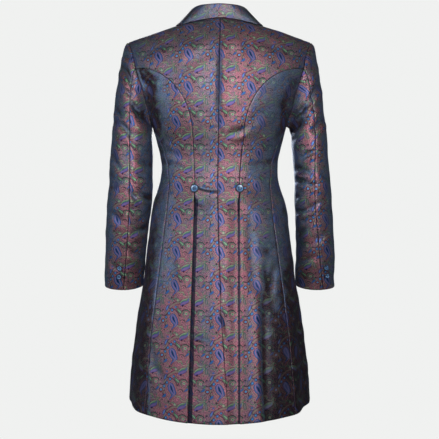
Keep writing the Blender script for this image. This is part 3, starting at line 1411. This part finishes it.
def newGroup(name, inputs, outputs):
    group = bpy.data.node_groups.new(name, "ShaderNodeTree")
    for label, kind, *preset in inputs:
        socket = group.interface.new_socket(label, in_out="INPUT", socket_type="NodeSocket" + kind)
        if preset:
            feed(socket, preset[0])
    for label, kind in outputs:
        group.interface.new_socket(label, in_out="OUTPUT", socket_type="NodeSocket" + kind)
    start = {socket.name: Socket(group, socket) for socket in group.nodes.new("NodeGroupInput").outputs}
    return start, group.nodes.new("NodeGroupOutput").inputs, group


def placeGroup(tree, group, **values):
    node = tree.nodes.new("ShaderNodeGroup")
    node.node_tree = group
    for label, value in values.items():
        feed(node.inputs[label], value)
    return {socket.name: Socket(tree, socket) for socket in node.outputs}


def calc(operation, *values, clamp=False):
    tree = next(value.tree for value in values if isinstance(value, Socket))
    return newNode(tree, "ShaderNodeMath", dict(enumerate(values)), operation=operation, use_clamp=clamp)


def vector(operation, *values, **more):
    output = 1 if operation in ("LENGTH", "DOT_PRODUCT") else 0
    inputs = {**dict(enumerate(values)), **more}
    return newNode(values[0].tree, "ShaderNodeVectorMath", inputs, output, operation=operation)


def axis(source, number):
    return newNode(source.tree, "ShaderNodeSeparateXYZ", {0: source}, number)


def blendColour(share, low, high):
    return newNode(share.tree, "ShaderNodeMix", {0: share, 6: low, 7: high}, 2, data_type="RGBA")


# Rises softly from 0 to 1 between two values, or falls when the first is the larger
def band(value, low, high):
    inputs = {"Value": value, "From Min": low, "From Max": high}
    return newNode(value.tree, "ShaderNodeMapRange", inputs, interpolation_type="SMOOTHSTEP")


# 1 along a line of the given half width, 0 away from it
def lineMask(value, level, half, soft):
    return band(abs(value - level), half + soft, half - soft)


def noise(place, scale, detail=2.0, output="Fac"):
    inputs = {"Scale": scale, "Detail": detail, "Vector": place}
    return newNode(place.tree, "ShaderNodeTexNoise", inputs, output)


def nearest(place, centre):
    width, height = paisley["repeat"]
    near = vector("SUBTRACT", place, centre)
    near = vector("WRAP", near, (width / 2, height / 2, 1.0), (-width / 2, -height / 2, -1.0))
    return vector("MULTIPLY", near, (1.0, 1.0, 0.0))


# A paisley drop in its own axes, blunt at one end and hooked at the other; Inside is in millimetres
def makeDrop():
    vectors = ((label, "Vector") for label in ("Place", "Centre", "Across", "Along"))
    sizes = (("Length", "Float", 28.0), ("Width", "Float", 15.0), ("Curl", "Float", 6.0))
    start, end, group = newGroup("paisleyDrop", (*vectors, *sizes), (("Inside", "Float"),))
    near = nearest(start["Place"], start["Centre"])
    x, y = (vector("DOT_PRODUCT", near, start[label]) for label in ("Across", "Along"))
    share = y / start["Length"] + 0.5
    held = calc("ADD", share, 0.0, clamp=True)
    girth = held**0.5 * (1.0 - held) * dropShape["girth"] * start["Width"]
    hook = band(held, *dropShape["hookFrom"]) * dropShape["hook"]
    across = x - (held ** dropShape["bend"] - hook) * start["Curl"]
    past = (share - held) * start["Length"]
    feed(end["Inside"], girth - calc("SQRT", across * across + past * past))
    return group


# Millimetres and angle from the nearest repeat of a point
def makeBead():
    start, end, group = newGroup(
        "beadPlace", (("Place", "Vector"), ("Centre", "Vector")), (("Away", "Float"), ("Angle", "Float"))
    )
    near = nearest(start["Place"], start["Centre"])
    feed(end["Away"], vector("LENGTH", near))
    feed(end["Angle"], calc("ARCTAN2", axis(near, 1), axis(near, 0)))
    return group


# A slow noise that repeats with the figure
def repeatedNoise(place, scale):
    u, v = (axis(place, number) * (2 * math.pi / size) for number, size in enumerate(paisley["repeat"]))
    corners = {0: calc("COSINE", u), 1: calc("SINE", u), 2: calc("COSINE", v)}
    spot = newNode(place.tree, "ShaderNodeCombineXYZ", corners)
    inputs = {"Scale": scale, "Detail": 1.0, "Vector": spot, "W": calc("SINE", v)}
    return newNode(place.tree, "ShaderNodeTexNoise", inputs, "Fac", noise_dimensions="4D")


# The woven figure over the ground, and where its threads stand up
def makePaisley(drop, bead):
    start, end, group = newGroup(
        "wovenPaisley",
        (("Place", "Vector"), ("Ground", "Color", (0.2, 0.1, 0.15)), ("Strength", "Float", 1.0)),
        (("Color", "Color"), ("Raised", "Float")),
    )
    drift = vector("SUBTRACT", noise(start["Place"], *paisley["drift"]), (0.5, 0.5, 0.5))
    place = vector("ADD", start["Place"], vector("SCALE", drift, Scale=paisley["driftReach"]))
    lineSoft, fillSoft, arcSoft = (paisley[name] for name in ("lineSoft", "fillSoft", "arcSoft"))
    colour = start["Ground"]

    def lay(mask, tint, amount):
        nonlocal colour
        colour = blendColour(mask * (start["Strength"] * amount), colour, thread[tint])

    noises = {scale: repeatedNoise(place, scale) for scale in (2.6, 5.2, 7.5)}
    for scale, level, half, tint, amount in paisley["tendrils"]:
        lay(lineMask(noises[scale], level, half, paisley["tendrilSoft"]), tint, amount)
    for scale, low, high, tint, amount in paisley["flecks"]:
        lay(band(noises[scale], low, high), tint, amount)
    # the drawn motifs waver by half a millimetre or so
    waver = {number: (noises[scale] - 0.5) * paisley["waverReach"] for number, scale in enumerate((7.5, 5.2))}
    place = vector("ADD", place, newNode(group, "ShaderNodeCombineXYZ", waver))
    for centre, radius, half, low, high, tint, amount in paisley["scrolls"]:
        spot = placeGroup(group, bead, Place=place, Centre=(*centre, 0))
        begun = band(spot["Angle"], low - arcSoft, low + arcSoft)
        drawn = begun * band(spot["Angle"], high + arcSoft, high - arcSoft)
        lay(lineMask(spot["Away"], radius, half, lineSoft) * drawn, tint, amount)
    for centre, turn, length, width, curl, outlines, fills in paisley["drops"]:
        cosine, sine = math.cos(math.radians(turn)), math.sin(math.radians(turn))
        axes = {"Across": (cosine, -sine, 0), "Along": (sine, cosine, 0)}
        sizes = {"Length": length, "Width": width, "Curl": curl}
        inside = placeGroup(group, drop, Place=place, Centre=(*centre, 0), **axes, **sizes)["Inside"]
        for level, half, tint, amount in outlines:
            lay(lineMask(inside, level, half, lineSoft), tint, amount)
        for level, tint, amount in fills:
            lay(band(inside, level - fillSoft, level + fillSoft), tint, amount)
    for centre, discs in paisley["beads"]:
        away = placeGroup(group, bead, Place=place, Centre=(*centre, 0))["Away"]
        for radius, tint, amount in discs:
            lay(band(away, radius + fillSoft, radius - fillSoft), tint, amount)
    feed(end["Color"], colour)
    change = vector("LENGTH", vector("SUBTRACT", colour, start["Ground"]))
    feed(end["Raised"], band(change, *paisley["raisedFrom"]))
    return group


# Silk threads over and under, as a height between 0 and 1, and their slubs
def makeWeave():
    start, end, group = newGroup(
        "silkWeave", (("Place", "Vector"), ("Pitch", "Float", 0.55)), (("Height", "Float"), ("Slub", "Float"))
    )
    threads = calc("DIVIDE", math.pi, start["Pitch"])
    x, y = (axis(start["Place"], number) * threads for number in (0, 1))
    crossed = abs(calc("SINE", x) * calc("SINE", y + x * weave["lean"]))
    slub = noise(vector("MULTIPLY", start["Place"], weave["slubStretch"]), weave["slubScale"])
    feed(end["Height"], crossed * weave["crossed"] + slub * weave["slub"])
    feed(end["Slub"], slub)
    return group


# Shot silk: the ground's hue goes with the way the cloth faces and its place on the coat
# Veil hides the figure
def makeShotGround():
    colours = ((name.title(), "Color", thread[name]) for name in ("rose", "lilac", "steel", "deep", "grit"))
    start, end, group = newGroup(
        "shotGround",
        (("Facing", "Vector"), ("Tone", "Float", 0.5), ("Place", "Vector"), *colours),
        (("Color", "Color"), ("Veil", "Float")),
    )
    sideways = abs(axis(start["Facing"], 0) + shot["lean"])
    rising = axis(start["Facing"], 2)
    cloud, patch, speck = (noise(start["Place"], *shot[name]) - 0.5 for name in ("cloud", "patch", "speck"))
    tone = start["Tone"] + cloud * shot["cloudTone"] + patch
    tone = tone + band(sideways, *shot["sideways"]) * shot["sideTone"]
    tone = tone + band(rising, *shot["rising"]) * shot["riseTone"]
    mixed = tone + speck * shot["speckTone"]
    colour = blendColour(band(mixed, *shot["roseToLilac"]), start["Rose"], start["Lilac"])
    colour = blendColour(band(mixed, *shot["lilacToSteel"]), colour, start["Steel"])
    colour = blendColour(band(tone, *shot["steelToDeep"]), colour, start["Deep"])
    shades = ((speck, "gritty", "Grit"), (rising, "falling", "Deep"), (rising, "lying", "Deep"))
    for value, name, tint in shades:
        low, high, amount = shot[name]
        colour = blendColour(band(value, low, high) * amount, colour, start[tint])
    feed(end["Color"], colour)
    feed(end["Veil"], band(tone, *shot["veil"]))
    return group


# Darkening in the seams and a little rubbing beside them
def makeSeamShade():
    start, end, group = newGroup(
        "seamShade",
        (("Color", "Color"), ("Distance", "Float", 0.05), ("Depth", "Float", 0.88), ("Rub", "Float", 0.07)),
        (("Color", "Color"),),
    )
    away = start["Distance"]
    deep = band(away, *seam["dark"])
    ridge = band(away, *seam["rubRises"]) * band(away, *seam["rubFalls"])
    colour = blendColour(deep * start["Depth"], start["Color"], thread["dark"])
    feed(end["Color"], blendColour(ridge * start["Rub"], colour, thread["rubbed"]))
    return group


def newMaterial(name, roughness):
    material = bpy.data.materials.new(name)
    material.use_nodes = True
    sockets = material.node_tree.nodes["Principled BSDF"].inputs
    feed(sockets["Roughness"], roughness)
    return material, material.node_tree, sockets


def attribute(tree, name):
    return newNode(tree, "ShaderNodeAttribute", output="Fac", attribute_name=name)


def grainPlace(tree):
    return vector("SCALE", newNode(tree, "ShaderNodeUVMap", uv_map="grain"), Scale=1000.0)


def bumped(sockets, height, strength, distance):
    inputs = {"Strength": strength, "Distance": distance, "Height": height}
    feed(sockets["Normal"], newNode(height.tree, "ShaderNodeBump", inputs))


shotGround, silkWeave, seamShade = makeShotGround(), makeWeave(), makeSeamShade()
wovenPaisley = makePaisley(makeDrop(), makeBead())


def brocadeFinish():
    material, tree, sockets = newMaterial("silkBrocade", silk["roughness"])
    feed(sockets["Metallic"], silk["metallic"])
    feed(sockets["Sheen Weight"], silk["sheen"])
    feed(sockets["Sheen Roughness"], silk["sheenRoughness"])
    feed(sockets["Sheen Tint"], silk["sheenTint"])
    feed(sockets["Specular IOR Level"], silk["specular"])
    feed(sockets["Specular Tint"], silk["edge"])
    place = grainPlace(tree)
    facing = newNode(tree, "ShaderNodeNewGeometry", output="Normal")
    ground = placeGroup(tree, shotGround, Facing=facing, Tone=attribute(tree, "tone"), Place=place)
    strength = silk["figureStrength"] - ground["Veil"] * silk["veilStrength"]
    figure = placeGroup(tree, wovenPaisley, Place=place, Ground=ground["Color"], Strength=strength)
    threads = placeGroup(tree, silkWeave, Place=place, Pitch=silk["weavePitch"])
    woven = blendColour(threads["Slub"] * silk["slubShade"], figure["Color"], thread["dark"])
    seams = placeGroup(tree, seamShade, Color=woven, Distance=attribute(tree, "seamDistance"))
    feed(sockets["Base Color"], seams["Color"])
    feed(sockets["Roughness"], figure["Raised"] * silk["raisedRoughness"] + silk["roughness"])
    bumped(sockets, threads["Height"], *silk["weaveBump"])
    return material


def reverseFinish():
    material, tree, sockets = newMaterial("clothReverse", silk["reverseRoughness"])
    threads = placeGroup(tree, silkWeave, Place=grainPlace(tree), Pitch=silk["reversePitch"])
    feed(sockets["Base Color"], blendColour(threads["Slub"], silk["reverse"], silk["reversePale"]))
    bumped(sockets, threads["Height"], *silk["reverseBump"])
    return material


silkBrocade, clothReverse = brocadeFinish(), reverseFinish()
print("brocade woven")

def fit(piece, node, finishes):
    for finish in finishes:
        piece.data.materials.append(finish)
    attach(piece, "root")
    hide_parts(node)


def sew(piece, node):
    fit(piece, node, (silkBrocade, clothReverse))


for side in (1, -1):
    for name, make, look in (
        ("back_", centreBack, centreBackLook),
        ("side_back_", sideBack, sideBackLook),
        ("front_", front, frontLook),
        ("lapel_", lapel, lapelLook),
        ("top_sleeve_", topSleeve, topSleeveLook),
        ("under_sleeve_", underSleeve, underSleeveLook),
    ):
        sew(make(side), name + hand[side])
    print("cloth hung:", hand[side])
sew(collar(), "collar")

buttonCut = {
    "stand": 0.0016,
    # radius and thickness
    "waist": (0.0110, 0.0034),
    "front": (0.0100, 0.0034),
    "cuff": (0.0074, 0.0028),
    "frontZ": (-0.268, -0.360, -0.452),
    "cuffUp": (0.057, 0.0355),
    "cuffTurn": 15.0,
    "sides": 64,
    "dishSteps": 10,
    "strandSides": 8,
    # depth below the top and radius of the dished middle and its holes, as shares of thickness and radius
    "dish": 0.38,
    "holeDepth": 0.30,
    "holeSpread": 0.12,
    "holeRadius": 0.07,
    "strandThick": 0.045,
    "strandReach": 0.13,
    "strandBow": 0.16,
    "strandOver": 0.05,
    # reach as a share of the radius, height above the stand as a share of the thickness, finish
    "outline": (
        (0.70, 0.0, 1),
        (0.93, 0.12, 1),
        (0.99, 0.38, 1),
        (0.985, 0.60, 1),
        (0.95, 0.84, 1),
        (0.87, 0.97, 1),
        (0.79, 1.0, 1),
        (0.73, 0.94, 1),
        (0.66, 0.84, 0),
        (0.50, 0.73, 0),
        (0.40, 0.69, 0),
        (0.35, 0.63, 1),
        (0.28, 0.62, 1),
    ),
    "shank": ((0.0020, 0.0003, 2), (0.0016, 0.00144, 2)),
}
# two shades, roughness, cloud scale and lacquer
buttonFinish = {
    "buttonPearl": ((0.050, 0.125, 0.255), (0.140, 0.260, 0.430), 0.24, 240.0, 0.35),
    "buttonRim": ((0.006, 0.009, 0.026), (0.010, 0.014, 0.034), 0.50, 500.0, 0.0),
    "buttonThread": ((0.012, 0.015, 0.040), (0.040, 0.050, 0.110), 0.7, 1500.0, 0.0),
}


# A cloudy colour between two shades
def cloudyFinish(name, low, high, roughness, scale, coat):
    material, tree, sockets = newMaterial(name, roughness)
    cloud = noise(newNode(tree, "ShaderNodeTexCoord", output="Object"), scale)
    feed(sockets["Base Color"], blendColour(band(cloud, 0.35, 0.70), low, high))
    if coat:
        feed(sockets["Coat Weight"], coat)
        feed(sockets["Coat Roughness"], 0.12)
    return material


buttonFinishes = [cloudyFinish(name, *look) for name, look in buttonFinish.items()]


# Turned button: shank, dark backing, a pearl ring round a dished middle with four holes, and crossed thread
def sewButton(node, size, point, normal):
    radius, thickness = size
    stand, sides = buttonCut["stand"], buttonCut["sides"]
    out = unit(np.array(normal, float))
    across = unit(np.cross(out, (0, 0, 1)))
    upward = np.cross(out, across)
    shape = bmesh.new()

    def ring(count, spotAt):
        angles = [2 * math.pi * corner / count for corner in range(count)]
        spots = [spotAt(math.cos(angle), math.sin(angle)) for angle in angles]
        return [shape.verts.new(point + across * u + upward * v + out * height) for u, v, height in spots]

    def bridge(low, high, finish):
        for corner in range(len(low)):
            after = (corner + 1) % len(low)
            shape.faces.new((low[corner], low[after], high[after], high[corner])).material_index = finish

    turned = list(buttonCut["shank"])
    for reach, height, finish in buttonCut["outline"]:
        turned.append((radius * reach, stand + thickness * height, finish))
    rings = [ring(sides, lambda u, v: (reach * u, reach * v, height)) for reach, height, _ in turned]
    for low, high, (_, _, finish) in zip(rings, rings[1:], turned[1:]):
        bridge(low, high, finish)
    shape.faces.new(rings[0][::-1]).material_index = 2
    # the dished middle, let down round four holes
    floor = stand + thickness * (1 - buttonCut["dish"])
    hole, inset = radius * buttonCut["holeRadius"], radius * buttonCut["holeSpread"]
    steps = buttonCut["dishSteps"]

    def dished(u, v):
        pit = min(math.hypot(abs(u) - inset, abs(v) - inset) / hole, 3)
        return u, v, floor - thickness * buttonCut["holeDepth"] * math.exp(-(pit**3))

    reaches = [turned[-1][0] * (1 - step / steps) for step in range(1, steps)]
    inner = [rings[-1]] + [ring(sides, lambda u, v: dished(reach * u, reach * v)) for reach in reaches]
    for low, high in zip(inner, inner[1:]):
        bridge(low, high, 0)
    hub = shape.verts.new(point + out * floor)
    for corner in range(sides):
        shape.faces.new((inner[-1][corner], inner[-1][(corner + 1) % sides], hub)).material_index = 0
    # two crossed strands through the holes
    thick, bow = radius * buttonCut["strandThick"], buttonCut["strandBow"]
    for lean in (1, -1):
        loops = []
        for share in np.linspace(-1, 1, 9):
            run = share * radius * buttonCut["strandReach"]
            over = bow * (1 - share**2) - bow * abs(share) ** 6 + buttonCut["strandOver"] * (lean == 1)
            height = floor + thickness * over

            def strand(u, v):
                aside = thick * u / math.sqrt(2)
                return run - aside * lean, run * lean + aside, height + thick * v

            loops.append(ring(buttonCut["strandSides"], strand))
        for low, high in zip(loops, loops[1:]):
            bridge(low, high, 2)
        for cap in (loops[0], loops[-1][::-1]):
            shape.faces.new(cap).material_index = 2
    bmesh.ops.recalc_face_normals(shape, faces=shape.faces)
    fit(newPiece(node + "_sewn", shape), node, buttonFinishes)


for side in (1, -1):
    turn, level = place(backCut["waistSeamX"][side], waistZ)
    sewButton("waist_button_" + hand[side], buttonCut["waist"], *body(turn, level, side))
    ladder = np.linspace(4, 6, 201)
    heights = sleevePoint(buttonCut["cuffTurn"], ladder, side)[:, 2]
    for number, up in enumerate(buttonCut["cuffUp"], 1):
        down = float(np.interp(heights[-1] + up, heights[::-1], ladder[::-1]))
        spot = sleevePoint(buttonCut["cuffTurn"], down, side)
        beside = sleevePoint(buttonCut["cuffTurn"] + 1, down, side) - spot
        facing = unit(np.cross(beside, sleevePoint(buttonCut["cuffTurn"], down + 0.02, side) - spot))
        seen = (spot * mirror[side], facing * mirror[side])
        sewButton(f"cuff_button_{hand[side]}_{number}", buttonCut["cuff"], *seen)
for number, z in enumerate(buttonCut["frontZ"], 1):
    sewButton(f"front_button_{number}", buttonCut["front"], *body(2.0, levelAt(z), 1))
print("buttons sewn on")

studio = {
    "floorZ": -1.40,
    "floorSize": 9.0,
    "floor": (0.32, 0.32, 0.33),
    "backdrop": (0.871, 0.880, 0.871),
    "ambient": (0.95, 0.97, 1.0),
    "ambientStrength": 0.09,
    "camera": (0.0, 2.1, -0.44375),
    "lens": 68.9,
    "sensor": 36,
    # width and height, power, place, aim, tint, spread in degrees
    "lights": {
        "backSoftbox": (1.2, 7.5, (-0.32, 2.75, 0.15), (0, 0, -0.12), (1.0, 1.0, 1.0), 50.0),
        "sideSoftbox": (1.0, 26, (2.1, 1.9, 0.1), (0, 0, -0.40), (0.82, 0.91, 1.0), 180.0),
        "frontSoftbox": (1.3, 60, (0.3, -2.9, 0.4), (0, 0, -0.30), (1.0, 1.0, 1.0), 180.0),
        "overhead": (1.4, 3, (0, 0.0, 2.2), (0, 0, 0), (1.0, 1.0, 1.0), 180.0),
    },
}


def setUp(name, data, spot, aim):
    thing = bpy.data.objects.new(name, data)
    reach = np.array(aim, float) - np.array(spot, float)
    tilt, heading = math.atan2(math.hypot(*reach[:2]), -reach[2]), math.atan2(-reach[0], reach[1])
    thing.location = spot
    thing.rotation_euler = (tilt, 0.0, heading)
    bpy.context.scene.collection.objects.link(thing)
    return thing


# Lets the camera see one shader and everything else meet another
def seenApart(tree, output, seen, met):
    ray = newNode(tree, "ShaderNodeLightPath", output="Is Camera Ray")
    newNode(tree, output, {0: newNode(tree, "ShaderNodeMixShader", {0: ray, 1: met, 2: seen})})


def paleFloor():
    shape = bmesh.new()
    bmesh.ops.create_grid(shape, x_segments=8, y_segments=8, size=studio["floorSize"])
    floor = newPiece("studio_floor", shape)
    floor.location.z = studio["floorZ"]
    material = bpy.data.materials.new("studioFloor")
    material.use_nodes = True
    tree = material.node_tree
    tree.nodes.clear()
    glow = newNode(tree, "ShaderNodeEmission", {"Color": studio["backdrop"]})
    matt = newNode(tree, "ShaderNodeBsdfDiffuse", {"Color": studio["floor"]})
    seenApart(tree, "ShaderNodeOutputMaterial", glow, matt)
    floor.data.materials.append(material)


def studioWorld():
    world = bpy.data.worlds.new("studio")
    bpy.context.scene.world = world
    world.use_nodes = True
    tree = world.node_tree
    tree.nodes.clear()
    seen = newNode(tree, "ShaderNodeBackground", {"Color": studio["backdrop"]})
    inputs = {"Color": studio["ambient"], "Strength": studio["ambientStrength"]}
    seenApart(tree, "ShaderNodeOutputWorld", seen, newNode(tree, "ShaderNodeBackground", inputs))


paleFloor()
studioWorld()
bpy.context.scene.view_settings.view_transform = "Standard"
for name, (size, power, spot, aim, tint, spreadAngle) in studio["lights"].items():
    light = bpy.data.lights.new(name, "AREA")
    light.shape = "RECTANGLE"
    light.size = size
    light.size_y = size
    light.energy = power
    light.color = tint
    light.spread = math.radians(spreadAngle)
    setUp(name, light, spot, aim)

lens = bpy.data.cameras.new("camera")
lens.lens = studio["lens"]
lens.sensor_width = studio["sensor"]
lens.sensor_fit = "HORIZONTAL"
bpy.context.scene.camera = setUp("camera", lens, studio["camera"], (0, 0, studio["camera"][2]))
print("studio lit")
